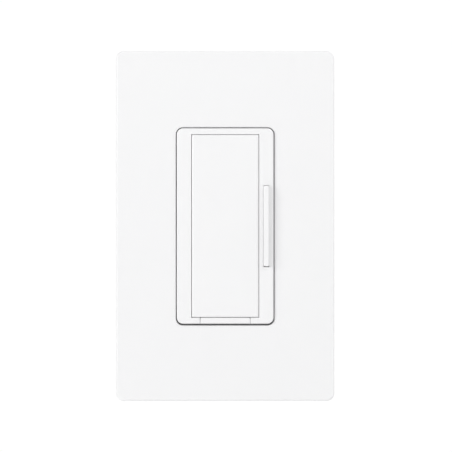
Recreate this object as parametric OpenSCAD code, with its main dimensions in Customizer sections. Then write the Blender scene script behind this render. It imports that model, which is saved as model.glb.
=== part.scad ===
// Decorator wall dimmer: screwless wallplate, tap paddle, tilting dimmer bar, service tab, and the
// switch body behind them. Millimetres. X to the right, Z up, Y into the wall; the wall's face is Y = 0.
// The origin is midway between the two box screws.

/* [Wallplate] */
// Width of the wallplate
plate_w = 74.5; // [72:0.5:80]
// Height of the wallplate
plate_h = 119.3; // [118:0.1:126]
// How far the wallplate's face stands off the wall
plate_depth = 7.6; // [7.4:0.1:7.8]
// Thickness of the wallplate's face
plate_face = 2.0; // [1.6:0.1:2.2]
// Thickness of the wallplate's side walls
plate_side = 1.7; // [1.4:0.1:1.8]
// Radius of the wallplate's outline at its corners
plate_corner = 2.8; // [2:0.1:4]
// Radius of the wallplate's front edges
plate_edge = 0.9; // [0.6:0.1:1.4]
// Width of the opening for the bezel
opening_w = 33.5; // [33.4:0.1:33.8]
// Height of the opening for the bezel
opening_h = 67.3; // [67:0.1:67.5]

/* [Bezel] */
// Width of the bezel
bezel_w = 32.8; // [32.7:0.1:33.1]
// Height of the bezel
bezel_h = 66.5; // [66.3:0.1:66.6]
// How far the bezel's face stands off the wall
bezel_depth = 8.4; // [8.2:0.1:8.5]
// Thickness of the bezel's face
bezel_face = 2.0; // [1.8:0.1:2]

/* [Paddle] */
// Width of the tap paddle
paddle_w = 22.8; // [22.5:0.1:22.9]
// Height of the tap paddle
paddle_h = 62.1; // [62:0.1:62.2]
// How far the paddle's face stands off the wall
paddle_depth = 8.55; // [8.4:0.05:8.7]
// Gap beside the paddle
paddle_gap = 0.2; // [0.2:0.05:0.3]

/* [Dimmer bar] */
// Width of the dimmer bar
bar_w = 1.8; // [1.6:0.1:1.9]
// Height of the dimmer bar
bar_h = 27.4; // [26:0.1:28]
// How far the bar's face stands off the wall
bar_depth = 10.0; // [9.4:0.1:10.4]
// Distance of the bar from the centre line
bar_x = 14.0; // [13.95:0.05:14.05]

/* [Service tab] */
// Width of the service tab's head
tab_w = 16.9; // [14:0.1:17.1]
// Width of the stem behind the head
stem_w = 9.0; // [7:0.5:9]

/* [Yoke] */
// Width of the yoke
yoke_w = 44.5; // [44:0.1:45]
// Height of the yoke
yoke_h = 105.4; // [104:0.1:108]
// Thickness of the yoke's sheet
yoke_t = 1.6; // [1.5:0.1:1.6]
// Distance between the two box screws
box_spacing = 83.3; // [83:0.1:83.6]
// Distance between the two wallplate adapter screws
plate_spacing = 96.8; // [96:0.1:97.2]

/* [Housing] */
// Width of the housing
housing_w = 43.5; // [43:0.1:44]
// Height of the housing
housing_h = 71.0; // [70.6:0.1:71.4]
// Depth of the housing behind the yoke
housing_depth = 31.0; // [29:0.5:34]
// Thickness of the housing's walls
housing_wall = 1.8; // [1.6:0.1:2]

/* [Hidden] */
$fn = 48;

eps = 0.1;          // how far a cutter runs past the face that it cuts
touch = 0.05;       // gap between neighbouring pieces that rest on each other

// Colours
white_plastic = [0.95, 0.95, 0.94];
grey_plastic = [0.72, 0.73, 0.74];
dark_plastic = [0.16, 0.16, 0.17];
aluminium = [0.78, 0.79, 0.81];
steel = [0.66, 0.67, 0.69];
brass = [0.78, 0.62, 0.30];
copper = [0.72, 0.40, 0.22];

// Planes along Y
adapter_front = -3.2;
yoke_front = -yoke_t;
board_front = 6.5;
board_back = 8.1;
parts_front = board_back + touch;

// Screws, number 6-32 throughout, and the smaller ones that hold the housing
screw_r = 1.75;
screw_minor_r = 1.4;
screw_hole_r = 1.9;
box_screw_end = 23.8;
case_screw_r = 1.45;
case_screw_x = 19.3;
case_screw_z = 31.8;

// Bezel and the bearings in it
bezel_wall = 1.2;
well_w = paddle_w + 2 * paddle_gap;
well_h = paddle_h + 2 * paddle_gap - 0.05;
guide_t = 1.2;
guide_thin_t = 0.8;
guide_thin_half = 16;
bearing_y = -4.4;
bearing_z = 28.8;
trunnion_r = 1.0;
running_gap = 0.05;
paddle_cap = 1.6;
bar_side_gap = 0.1;
bar_end_gap = 0.2;
pivot_y = -6.0;
pivot_r = 0.6;
tab_gap = 0.15;
tab_top = -31.3;
stake_x = 14.8;
stake_z = 30;
stake_r = 1.15;

// Push buttons under the paddle and under the two ends of the bar: [x, z]
tap_at = [0, 6];
raise_at = [bar_x, 9];
lower_at = [bar_x, -9];
button_front = 3.0;
button_size = 6;
plunger_r = 1.75;
plunger_front = -0.6;
window_r = 2.4;
tip_r = 1.2;

// Wire pockets in the housing's sides: [side, z, front]
pocket_d = 6;
pocket_h = 11;
pocket_web = 1.2;
common_pocket = [-1, 16, 12];
ground_pocket = [-1, -20, 0];
traveller_pockets = [[1, 16, 12], [1, -16, 12]];
pockets = concat([common_pocket, ground_pocket], traveller_pockets);
wire_screw_y = 18;
ground_screw_y = 16;

// Choke
choke_at = [1.6, 11.7, 14];
choke_ring_r = 6.9;
choke_core_r = 2.4;
choke_wire_r = 0.45;
choke_turns = 18;

// Paddle spring
spring_z = -22;
spring_r = 2.0;
spring_wire_r = 0.25;
spring_turns = 4.5;
spring_front = -paddle_depth + paddle_cap + touch;

// A box between two limits along each axis
module block(x, y, z) {
    translate([x[0], y[0], z[0]]) cube([x[1] - x[0], y[1] - y[0], z[1] - z[0]]);
}

// An (x, z) outline made solid from y0 to y1
module slab(y0, y1) {
    translate([0, y1, 0]) rotate([90, 0, 0]) linear_extrude(y1 - y0) children();
}

// Round bars along each axis
module rod_x(r, x0, x1) {
    translate([x0, 0, 0]) rotate([0, 90, 0]) cylinder(r = r, h = x1 - x0);
}
module rod_y(r, y0, y1) {
    translate([0, y1, 0]) rotate([90, 0, 0]) cylinder(r = r, h = y1 - y0);
}
module rod_z(r, z0, z1) {
    translate([0, 0, z0]) cylinder(r = r, h = z1 - z0);
}

// A cone along Y from y, whose radius goes from r1 to r2
module countersink(y, depth, r1, r2) {
    translate([0, y, 0]) rotate([-90, 0, 0]) cylinder(r1 = r1, r2 = r2, h = depth);
}

// A rectangle with round corners, centred
module round_rect(w, h, r) {
    square([w - 2 * r, h], center = true);
    square([w, h - 2 * r], center = true);
    for (x = [-1, 1], y = [-1, 1])
        translate([x * (w / 2 - r), y * (h / 2 - r)]) circle(r);
}

// The end view of a plate from y0 to y1 whose edges at y0 are rounded
module round_front(w, y0, y1, r) {
    translate([-w / 2, y0 + r]) square([w, y1 - y0 - r]);
    translate([-w / 2 + r, y0]) square([w - 2 * r, r + eps]);
    for (x = [-1, 1]) translate([x * (w / 2 - r), y0 + r]) circle(r);
}

// A plate from y0 to y1 with a round-cornered outline and rounded front edges
module soft_plate(w, h, y0, y1, corner, edge) {
    intersection() {
        slab(y0, y1) round_rect(w, h, corner);
        translate([0, 0, -h / 2]) linear_extrude(h) round_front(w, y0, y1, edge);
        rotate([0, 90, 0]) translate([0, 0, -w / 2]) linear_extrude(w) round_front(h, y0, y1, edge);
    }
}

// Places a copy at each of the four corners (x, z)
module four(x, z) {
    for (sx = [-1, 1], sz = [-1, 1]) translate([sx * x, 0, sz * z]) children();
}

// Places a copy at z and at -z
module up_down(z) {
    for (s = [-1, 1]) translate([0, 0, s * z]) children();
}

// Unit vector along v
function unit(v) = v / norm(v);

// The ring of points around point i of a path; refs[i] is a direction roughly across the path there
function ring(path, refs, i, r, sides) =
    let (
        last = len(path) - 1,
        t = unit(path[min(i + 1, last)] - path[max(i - 1, 0)]),
        n = unit(refs[i] - (refs[i] * t) * t),
        b = cross(t, n)
    )
    [for (k = [0 : sides - 1]) path[i] + r * (cos(360 * k / sides) * n + sin(360 * k / sides) * b)];

// A round wire swept along a path
module wire(path, refs, r, sides) {
    rings = len(path);
    points = [for (i = [0 : rings - 1]) each ring(path, refs, i, r, sides)];
    caps = [[for (k = [0 : sides - 1]) k], [for (k = [sides - 1 : -1 : 0]) (rings - 1) * sides + k]];
    walls = [for (i = [0 : rings - 2], k = [0 : sides - 1])
        let (a = i * sides + k, b = i * sides + (k + 1) % sides)
        each [[a, a + sides, b + sides], [a, b + sides, b]]];
    polyhedron(points, concat(caps, walls), convexity = 6);
}

// ---- Wallplate and what holds it ----

hook_x = plate_w / 2 - plate_side;
hook_z = 30;

module wallplate() {
    color(white_plastic) {
        difference() {
            soft_plate(plate_w, plate_h, -plate_depth, 0, plate_corner, plate_edge);
            slab(-plate_depth + plate_face, eps)
                round_rect(plate_w - 2 * plate_side, plate_h - 2 * plate_side, 1.6);
            slab(-plate_depth - eps, 0) round_rect(opening_w, opening_h, 2.35);
        }
        // Lip that stiffens the edge of the opening
        slab(-plate_depth + plate_face - eps, -4.0) difference() {
            round_rect(opening_w + 3, opening_h + 3, 3.4);
            round_rect(opening_w, opening_h, 2.35);
        }
        // Snap ridges that click behind the adapter's catches
        for (s = [-1, 1]) up_down(hook_z)
            block(s > 0 ? [hook_x - 0.6, hook_x + eps] : [-hook_x - eps, -hook_x + 0.6],
                [-1.0, -0.3], [-5, 5]);
    }
}

adapter_w = 70.6;
adapter_h = 115.1;

module wallplate_adapter() {
    color(white_plastic) difference() {
        union() {
            slab(adapter_front, yoke_front) round_rect(adapter_w, adapter_h, 2.2);
            slab(yoke_front - eps, 0) difference() {
                round_rect(adapter_w, adapter_h, 2.2);
                square([adapter_w - 4, adapter_h - 4], center = true);
            }
            // Ribs from the rim to the yoke's sides
            for (s = [-1, 1], z = [-36, -12, 12, 36])
                block(s > 0 ? [yoke_w / 2 + 0.3, 34] : [-34, -yoke_w / 2 - 0.3],
                    [yoke_front - eps, 0], [z - 0.8, z + 0.8]);
        }
        // Opening around the switch
        slab(adapter_front - eps, eps) round_rect(45.5, 71, 2);
        // Room for the box screws' heads
        up_down(box_spacing / 2) rod_y(4.6, adapter_front - eps, eps);
        // Countersunk holes for the adapter's own screws
        up_down(plate_spacing / 2) {
            rod_y(screw_hole_r, adapter_front - eps, eps);
            countersink(adapter_front - 0.01, 1.6, 3.45, 1.85);
        }
        // Catches for the wallplate's ridges
        for (s = [-1, 1]) up_down(hook_z)
            block(s > 0 ? [hook_x - 1.1, hook_x + 1] : [-hook_x - 1, -hook_x + 1.1], [-1.2, eps], [-6, 6]);
    }
}

module adapter_screws() {
    color(white_plastic) up_down(plate_spacing / 2) difference() {
        union() {
            countersink(adapter_front, 1.7, 3.3, 1.6);
            rod_y(1.6, adapter_front + 1, 4.8);
        }
        block([-4, 4], [adapter_front - eps, adapter_front + 0.7], [-0.4, 0.4]);
    }
}

module yoke() {
    tab_out = 19.6;
    color(aluminium) {
        difference() {
            slab(yoke_front, 0) {
                round_rect(yoke_w, 78, 2);
                round_rect(34, yoke_h, 4);
            }
            // Slots for the box screws
            up_down(box_spacing / 2) slab(yoke_front - eps, eps) {
                square([2.4, 4], center = true);
                for (x = [-1.2, 1.2]) translate([x, 0]) circle(2);
            }
            up_down(plate_spacing / 2) rod_y(screw_r, yoke_front - eps, eps);
            // Windows for the three push buttons and for the service tab's stem
            for (p = [tap_at, raise_at, lower_at])
                translate([p[0], 0, p[1]]) rod_y(window_r, yoke_front - eps, eps);
            block([-5.2, 5.2], [yoke_front - eps, eps], [-33.2, -30.6]);
            // Holes for the bezel's stakes, the housing screws and the triac's rivet
            four(stake_x, stake_z) rod_y(stake_r + 0.1, yoke_front - eps, eps);
            four(case_screw_x, case_screw_z) rod_y(case_screw_r + 0.15, yoke_front - eps, eps);
            translate([-8, 0, 25]) rod_y(1.7, yoke_front - eps, eps);
            // Relief beside the ground tab
            block([-yoke_w / 2 - eps, -tab_out], [yoke_front - eps, eps], [-24.6, -15.4]);
        }
        // Ground tab, bent back into its pocket
        difference() {
            block([-tab_out, -tab_out + yoke_t], [yoke_front, 24], [-24, -16]);
            translate([0, ground_screw_y, -20]) rod_x(screw_hole_r, -tab_out - eps, -tab_out + yoke_t + eps);
        }
    }
}

module box_screws() {
    color(steel) up_down(box_spacing / 2) difference() {
        union() {
            rod_y(3.4, -2.9, yoke_front);
            rod_y(2.9, -3.5, -2.8);
            rod_y(2.2, -3.8, -3.4);
            rod_y(screw_minor_r, yoke_front - eps, 0.6);
            rod_y(screw_r, 0.5, box_screw_end - 1.2);
            countersink(box_screw_end - 1.2, 1.2, screw_r, 0.6);
        }
        block([-4, 4], [-4, -2.7], [-0.4, 0.4]);
        block([-0.4, 0.4], [-4, -2.7], [-2, 2]);
    }
}

module screw_retainers() {
    color([0.45, 0.25, 0.12]) up_down(box_spacing / 2) difference() {
        block([-4.5, 4.5], [0.02, 0.4], [-4, 4]);
        rod_y(screw_minor_r + 0.05, -eps, 1);
    }
}

// ---- Bezel and controls ----

module bezel() {
    face_back = -bezel_depth + bezel_face;
    front = -bezel_depth - eps;
    back = yoke_front + eps;
    guide_in = well_w / 2;
    across = guide_in + guide_t + eps;
    tab_half = tab_w / 2 + tab_gap;
    stem_half = stem_w / 2 + tab_gap;
    color(white_plastic) difference() {
        union() {
            difference() {
                soft_plate(bezel_w, bezel_h, -bezel_depth, yoke_front, 2.1, 0.5);
                slab(face_back, yoke_front + eps)
                    square([bezel_w - 2 * bezel_wall, bezel_h - 2 * bezel_wall], center = true);
            }
            // Guide walls beside the paddle, thinner where the dimmer bar's foot moves
            block([-guide_in - guide_t, -guide_in], [face_back - eps, yoke_front], [-32.1, 32.1]);
            block([guide_in, guide_in + guide_thin_t], [face_back - eps, yoke_front], [-32.1, 32.1]);
            for (z = [[-32.1, -guide_thin_half], [guide_thin_half, 32.1]])
                block([guide_in, guide_in + guide_t], [face_back - eps, yoke_front], z);
            // Stakes, headed over behind the yoke
            four(stake_x, stake_z) {
                rod_y(1.5, face_back - eps, yoke_front);
                rod_y(stake_r, face_back, 0.5);
                rod_y(1.65, 0.02, 0.8);
            }
        }
        // Well for the paddle
        block([-guide_in, guide_in], [front, back], [-well_h / 2, well_h / 2]);
        // Slot for the dimmer bar
        slab(front, face_back + eps) translate([bar_x, 0])
            square([bar_w + 2 * bar_side_gap, bar_h + 2 * bar_end_gap], center = true);
        // Seat for the bar's pivot pin
        translate([0, pivot_y, 0]) rod_x(pivot_r + 0.02, bar_x - 2.2, bar_x + 2);
        // Bearings for the paddle's trunnions
        translate([0, bearing_y, bearing_z]) rod_x(trunnion_r + running_gap, -across, across);
        // Windows for the paddle's stop ears
        block([-across, across], [-5.0, back], [-28.2, -24.8]);
        // Notch for the service tab's head, and the way through for its stem
        block([-tab_half, tab_half], [front, -5.3], [-bezel_h / 2 - eps, -31]);
        block([-stem_half, stem_half], [-5.4, back], [-32.6, -31]);
    }
}

module tap_paddle() {
    cap_back = -paddle_depth + paddle_cap;
    skirt_back = -4.2;
    in_w = paddle_w - 2.4;
    in_h = paddle_h - 2.4;
    color(white_plastic) {
        difference() {
            soft_plate(paddle_w, paddle_h, -paddle_depth, skirt_back, 0.15, 0.9);
            slab(cap_back, skirt_back + eps) square([in_w, in_h], center = true);
        }
        // Stiffening ribs
        block([-0.5, 0.5], [cap_back - eps, -5.4], [-in_h / 2 - eps, -25.5]);
        block([-0.5, 0.5], [cap_back - eps, -5.4], [-18.5, in_h / 2 + eps]);
        for (z = [-14, -4, 14, 23])
            block([-in_w / 2 - eps, in_w / 2 + eps], [cap_back - eps, -5.4], [z - 0.5, z + 0.5]);
        // Trunnions and the bosses that carry them
        for (s = [0, 1]) mirror([s, 0, 0]) translate([0, bearing_y, bearing_z]) {
            rod_x(1.8, in_w / 2 - 1.2, paddle_w / 2);
            rod_x(trunnion_r, paddle_w / 2 - eps, 12.5);
        }
        // Ears that stop the paddle at rest
        for (s = [0, 1]) mirror([s, 0, 0])
            block([paddle_w / 2 - eps, 12.4], [-4.95, skirt_back], [-28, -25]);
        // Post that presses the tap button
        translate([0, 0, tap_at[1]]) {
            block([-1.5, 1.5], [cap_back - eps, -tip_r - 0.65], [-tip_r, tip_r]);
            translate([0, -tip_r - 0.65, 0]) rod_x(tip_r, -1.5, 1.5);
        }
        // Peg that centres the spring
        translate([0, 0, spring_z]) rod_y(1.4, cap_back - eps, -5.4);
    }
}

module paddle_spring() {
    length = yoke_front - touch - spring_wire_r - (spring_front + spring_wire_r);
    steps = 14;
    count = round(spring_turns * steps);
    path = [for (i = [0 : count]) let (a = 360 * i / steps)
        [spring_r * cos(a), spring_front + spring_wire_r + length * i / count, spring_z + spring_r * sin(a)]];
    refs = [for (i = [0 : count]) let (a = 360 * i / steps) [cos(a), 0, sin(a)]];
    color(steel) wire(path, refs, spring_wire_r, 6);
}

module dimmer_rocker() {
    foot_back = -4.1;
    color(white_plastic) translate([bar_x, 0, 0]) {
        difference() {
            union() {
                soft_plate(bar_w, bar_h, -bar_depth, foot_back, 0.4, 0.5);
                // Foot that is wider than the slot and keeps the bar in
                block([-1.1, 1.1], [-5.3, foot_back], [-15, 15]);
            }
            translate([0, pivot_y, 0]) rod_x(pivot_r + running_gap, -2, 2);
        }
        // Legs that press the raise and lower buttons
        up_down(raise_at[1]) {
            block([-0.8, 0.8], [foot_back - eps, -tip_r - 0.65], [-tip_r, tip_r]);
            translate([0, -tip_r - 0.65, 0]) rod_x(tip_r, -0.8, 0.8);
        }
    }
}

module rocker_pivot_pin() {
    color(steel) translate([bar_x, pivot_y, 0]) rod_x(pivot_r, -2.1, 1.9);
}

module service_tab() {
    color(white_plastic) {
        intersection() {
            translate([0, 0, -32.275])
                soft_plate(tab_w, 1.95, -bezel_depth, -5.5, 0.3, 0.5);
            block([-tab_w / 2, tab_w / 2], [-bezel_depth, -5.5], [-bezel_h / 2, tab_top]);
        }
        block([-stem_w / 2, stem_w / 2], [-5.6, 4.3], [-32.45, tab_top]);
    }
}

module service_slider() {
    color(grey_plastic) difference() {
        block([-7, 7], [4.3, 5.6], [-32.3, -26.5]);
        block([-5.4, -2.2], [4.3 - eps, 5], [-30.6, -27.6]);
        block([2.2, 5.4], [4.3 - eps, 5], [-30.6, -27.6]);
    }
}

module bridge_contact() {
    color(copper) block([-6.2, 6.2], [5.6, 6.0], [-30.2, -27.3]);
}

module fixed_contacts() {
    color(brass) for (x = [-4.5, 4.5]) translate([x, 0, -28.75]) rod_y(1.4, 6.05, board_front);
}

module switch_guide() {
    color(grey_plastic) difference() {
        block([-8.6, 8.6], [1.0, board_front], [-33.3, -25.2]);
        block([-7.3, 7.3], [1 - eps, board_front + eps], [-32.6, -26.2]);
    }
}

module insulator_sheet() {
    color([0.85, 0.82, 0.70]) difference() {
        slab(0.02, 0.4) {
            square([39.4, 56], center = true);
            square([31.5, 66.6], center = true);
        }
        four(stake_x, stake_z) rod_y(2.1, -eps, 1);
        for (p = [tap_at, raise_at, lower_at]) translate([p[0], 0, p[1]]) rod_y(window_r, -eps, 1);
        block([-8.8, 8.8], [-eps, 1], [-33, -25]);
        block([-14, -2], [-eps, 1], [11, 29.5]);
        block([-22, -14.3], [-eps, 1], [-27, -13]);
    }
}

// ---- Circuit board and what is on it ----

module board_standoffs() {
    color(grey_plastic) for (p = [[-16, 20], [10, 24], [-11, -21], [15, -20]])
        translate([p[0], 0, p[1]]) difference() {
            rod_y(1.9, 0.42, board_front - 0.02);
            rod_y(0.9, 0, board_front + eps);
        }
}

module circuit_board() {
    color([0.10, 0.36, 0.22]) difference() {
        slab(board_front, board_back) {
            square([38.6, 56], center = true);
            square([31, 66], center = true);
        }
        // Room for the ground pocket and for the terminals' tails
        block([-20, -14.2], [board_front - eps, board_back + eps], [-27, -13]);
        // Plated holes
        for (x = [-9, -3, 3, 9], z = [-31, 31])
            translate([x, 0, z]) rod_y(0.5, board_front - eps, board_back + eps);
    }
}

// The fixed body of a push button
module button_body(at) {
    s = button_size / 2;
    translate([at[0], 0, at[1]]) difference() {
        block([-s, s], [button_front, board_front - 0.02], [-s, s]);
        rod_y(plunger_r + 0.07, button_front - eps, 5.1);
    }
}

// The plunger of a push button
module button_plunger(at) {
    translate([at[0], 0, at[1]]) rod_y(plunger_r, plunger_front, 4.4);
}

module tap_switch() {
    color(dark_plastic) button_body(tap_at);
}
module raise_switch() {
    color(dark_plastic) button_body(raise_at);
}
module lower_switch() {
    color(dark_plastic) button_body(lower_at);
}
module tap_plunger() {
    color(dark_plastic) button_plunger(tap_at);
}
module raise_plunger() {
    color(dark_plastic) button_plunger(raise_at);
}
module lower_plunger() {
    color(dark_plastic) button_plunger(lower_at);
}

module triac() {
    color(dark_plastic) {
        block([-13, -3], [0.42, 4.9], [12, 21.2]);
        difference() {
            block([-13, -3], [0.42, 1.7], [21.1, 27.8]);
            translate([-8, 0, 25]) rod_y(1.75, 0, 2);
        }
        for (x = [-10.54, -8, -5.46]) {
            block([x - 0.4, x + 0.4], [2.8, 3.3], [8.5, 12.1]);
            block([x - 0.4, x + 0.4], [3.2, board_front - 0.02], [8.5, 9.0]);
        }
    }
}

module triac_pad() {
    color([0.75, 0.78, 0.80]) difference() {
        block([-13.3, -2.7], [0.02, 0.4], [11.4, 28.4]);
        translate([-8, 0, 25]) rod_y(1.8, -eps, 1);
    }
}

module triac_rivet() {
    color(aluminium) translate([-8, 0, 25]) {
        rod_y(2.6, -2.4, yoke_front);
        rod_y(1.6, yoke_front - eps, 1.8);
        rod_y(2.6, 1.72, 2.5);
    }
}

module choke_core() {
    color([0.75, 0.70, 0.25]) translate(choke_at) rotate([90, 0, 0])
        rotate_extrude() translate([choke_ring_r, 0]) circle(choke_core_r);
}

module choke_winding() {
    loop_r = choke_core_r + choke_wire_r + 0.1;
    steps = 12;
    count = choke_turns * steps;
    sweep = 325;
    function around(i) = sweep * i / count;
    function out(i) = [cos(around(i)), 0, sin(around(i))];
    function section(i) = let (a = 360 * i / steps) cos(a) * out(i) + [0, sin(a), 0];
    path = [for (i = [0 : count]) choke_at + choke_ring_r * out(i) + loop_r * section(i)];
    refs = [for (i = [0 : count]) section(i)];
    color(copper) wire(path, refs, choke_wire_r, 6);
}

module film_capacitor() {
    color([0.80, 0.55, 0.12]) block([-13.5, 4.5], [parts_front, 20], [-14, -7.2]);
}

module smoothing_capacitor() {
    color([0.12, 0.14, 0.24]) translate([-9, 0, -24]) {
        rod_y(4, parts_front + 0.6, 19.6);
        rod_y(3.6, parts_front, parts_front + 0.7);
    }
}

module varistor() {
    color([0.20, 0.32, 0.62]) translate([9, parts_front + 6, -20]) rod_z(5, -1.75, 1.75);
    color(steel) for (x = [6.5, 11.5]) translate([x, 0, -20]) rod_y(0.35, parts_front, parts_front + 3);
}

module microcontroller() {
    color(dark_plastic) block([-5, 5], [parts_front + 0.3, parts_front + 1.8], [-5.4, 0.6]);
    color(steel) for (x = [-4, -2, 0, 2, 4], s = [-1, 1])
        translate([x, 0, -2.4 + s * 3.3]) block([-0.25, 0.25], [parts_front, parts_front + 0.8], [-0.6, 0.6]);
}

// A part with a round body along z and a bent wire at each end
module axial(at, r, length) {
    lift = parts_front + r;
    translate([at[0], 0, at[1]]) {
        translate([0, lift, 0]) rod_z(r, -length / 2, length / 2);
        translate([0, lift, 0]) rod_z(0.3, -length / 2 - 1.6, length / 2 + 1.6);
        for (s = [-1, 1]) translate([0, 0, s * (length / 2 + 1.3)]) rod_y(0.3, parts_front, lift);
    }
}

module fuse() {
    color([0.85, 0.85, 0.80]) axial([10.5, -4], 1.5, 8);
}

module resistors() {
    color([0.75, 0.62, 0.45]) for (x = [-12.8, -10.4, -8]) axial([x, 3], 1.0, 6);
}

module diodes() {
    color(dark_plastic) for (x = [0.5, 3.5]) axial([x, -24], 1.2, 5);
}

// ---- Housing and terminals ----

module housing() {
    in_w = housing_w - 2 * housing_wall;
    in_h = housing_h - 2 * housing_wall;
    color(dark_plastic) difference() {
        union() {
            difference() {
                // Rounded at the rear
                mirror([0, 1, 0]) soft_plate(housing_w, housing_h, -housing_depth, 0, 2, 1.5);
                slab(-eps, housing_depth - housing_wall) square([in_w, in_h], center = true);
            }
            // Corner bosses for the screws
            intersection() {
                four(case_screw_x, case_screw_z) rod_y(2.8, 0, 14);
                block([-housing_w / 2, housing_w / 2], [0, 20], [-housing_h / 2, housing_h / 2]);
            }
            // Ledges that carry the circuit board
            for (s = [0, 1], z = [-8, 8]) mirror([s, 0, 0])
                block([18.4, 20.5], [board_back + touch, board_back + 2.2], [z - 2, z + 2]);
            // Walls around each wire pocket
            for (p = pockets) {
                x = [housing_w / 2 - pocket_d - pocket_web, housing_w / 2 - 0.5];
                block(p[0] > 0 ? x : [-x[1], -x[0]], [max(0, p[2] - pocket_web), housing_depth - 0.5],
                    [p[1] - pocket_h / 2 - pocket_web, p[1] + pocket_h / 2 + pocket_web]);
            }
        }
        // Wire pockets, open at the side and at the rear
        for (p = pockets) {
            x = [housing_w / 2 - pocket_d, housing_w / 2 + 1];
            block(p[0] > 0 ? x : [-x[1], -x[0]], [p[2] == 0 ? -eps : p[2], housing_depth + 1],
                [p[1] - pocket_h / 2, p[1] + pocket_h / 2]);
        }
        // Slits for the terminals' tails
        for (p = concat([common_pocket], traveller_pockets))
            translate([p[0] * (housing_w / 2 - pocket_d - pocket_web / 2), 0, p[1]])
                block([-1, 1], [12, 13.4], [-1.7, 1.7]);
        four(case_screw_x, case_screw_z) rod_y(case_screw_r + touch, -eps, 12);
        // Shallow gauge for stripping wire, moulded in the back
        block([-9, 9], [housing_depth - 0.5, housing_depth + 1], [-27, -24.5]);
    }
}

module housing_screws() {
    color(steel) four(case_screw_x, case_screw_z) difference() {
        union() {
            rod_y(2.4, -2.7, yoke_front);
            rod_y(1.8, -3.0, -2.6);
            rod_y(case_screw_r, yoke_front - eps, 10);
        }
        block([-1.5, 1.5], [-3.1, -2.3], [-0.3, 0.3]);
        block([-0.3, 0.3], [-3.1, -2.3], [-1.5, 1.5]);
    }
}

// Terminal plate in a pocket, with the tail that reaches the circuit board
module terminal(p) {
    tail_x = 12.5;
    tail_y = [12.1, 13.3];
    mirror([p[0] < 0 ? 1 : 0, 0, 0]) translate([0, 0, p[1]]) {
        difference() {
            block([17, 18.2], [tail_y[0], 24.4], [-5.3, 5.3]);
            translate([0, wire_screw_y, 0]) rod_x(screw_hole_r, 16, 19);
        }
        block([tail_x, 17.1], tail_y, [-1.5, 1.5]);
        block([tail_x, tail_x + 1], [parts_front, tail_y[1]], [-1.5, 1.5]);
    }
}

module common_terminal() {
    color(brass) terminal(common_pocket);
}

module traveller_terminals() {
    color(brass) for (p = traveller_pockets) terminal(p);
}

module pressure_plates() {
    color(brass) for (p = concat([common_pocket], traveller_pockets))
        mirror([p[0] < 0 ? 1 : 0, 0, 0]) translate([0, 0, p[1]]) difference() {
            block([18.7, 19.6], [13.4, 22.6], [-4.4, 4.4]);
            translate([0, wire_screw_y, 0]) rod_x(screw_hole_r, 18, 20);
        }
}

// Binding-head screw along X, its head towards the side of the pocket
module wire_screw(p, y, tip) {
    mirror([p[0] < 0 ? 1 : 0, 0, 0]) translate([0, y, p[1]]) difference() {
        union() {
            rod_x(screw_r, tip, 19.8);
            rod_x(3.6, 19.7, 20.9);
            rod_x(3.0, 20.8, 21.5);
        }
        block([20.4, 22], [-4, 4], [-0.5, 0.5]);
        block([20.4, 22], [-0.4, 0.4], [-2.2, 2.2]);
    }
}

module common_screw() {
    color([0.12, 0.12, 0.12]) wire_screw(common_pocket, wire_screw_y, 16.1);
}

module traveller_screws() {
    color(brass) for (p = traveller_pockets) wire_screw(p, wire_screw_y, 16.1);
}

module ground_screw() {
    color([0.15, 0.45, 0.22]) wire_screw(ground_pocket, ground_screw_y, 16.1);
}

module rear_label() {
    color([0.86, 0.87, 0.88]) slab(housing_depth, housing_depth + 0.1)
        translate([0, 2]) round_rect(24, 40, 1);
}

wallplate();
wallplate_adapter();
adapter_screws();
yoke();
box_screws();
screw_retainers();
bezel();
tap_paddle();
paddle_spring();
dimmer_rocker();
rocker_pivot_pin();
service_tab();
service_slider();
bridge_contact();
fixed_contacts();
switch_guide();
insulator_sheet();
board_standoffs();
circuit_board();
tap_switch();
raise_switch();
lower_switch();
tap_plunger();
raise_plunger();
lower_plunger();
triac();
triac_pad();
triac_rivet();
choke_core();
choke_winding();
film_capacitor();
smoothing_capacitor();
varistor();
microcontroller();
fuse();
resistors();
diodes();
housing();
housing_screws();
common_terminal();
traveller_terminals();
pressure_plates();
common_screw();
traveller_screws();
ground_screw();
rear_label();
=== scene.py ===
"""Looks of a white decorator wall dimmer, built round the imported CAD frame. +Z up, front at -Y.

Sizes and places are in millimetres, except for the camera, the lights and the floor, which are in metres.
"""

from collections import namedtuple
import math

import bmesh
import bpy
from mathutils import Matrix, Vector


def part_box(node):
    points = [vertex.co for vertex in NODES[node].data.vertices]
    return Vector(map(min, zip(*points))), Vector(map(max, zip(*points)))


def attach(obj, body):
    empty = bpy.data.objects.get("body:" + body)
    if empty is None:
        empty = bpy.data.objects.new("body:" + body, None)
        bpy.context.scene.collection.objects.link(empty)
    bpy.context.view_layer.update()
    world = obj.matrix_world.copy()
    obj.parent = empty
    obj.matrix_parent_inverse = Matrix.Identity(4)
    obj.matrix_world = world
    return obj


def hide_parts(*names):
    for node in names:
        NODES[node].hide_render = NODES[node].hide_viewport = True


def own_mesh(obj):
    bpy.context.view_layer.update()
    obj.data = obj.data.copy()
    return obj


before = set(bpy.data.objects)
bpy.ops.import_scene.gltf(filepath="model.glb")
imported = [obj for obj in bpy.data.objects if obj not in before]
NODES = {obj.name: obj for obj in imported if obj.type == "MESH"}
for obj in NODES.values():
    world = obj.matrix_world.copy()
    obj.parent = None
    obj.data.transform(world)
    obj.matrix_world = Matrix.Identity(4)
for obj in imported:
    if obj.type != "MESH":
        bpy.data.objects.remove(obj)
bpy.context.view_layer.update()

MM = 0.001


def show(item):
    bpy.context.scene.collection.objects.link(item)


# -------- camera, light and floor

FRAME_WIDTH = 153.9 * MM      # what the picture takes in at the wallplate's face
LENS = 135.0
SENSOR = 36.0
AIM_X = 0.27 * MM             # the object stands a touch left of the picture's middle


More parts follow.
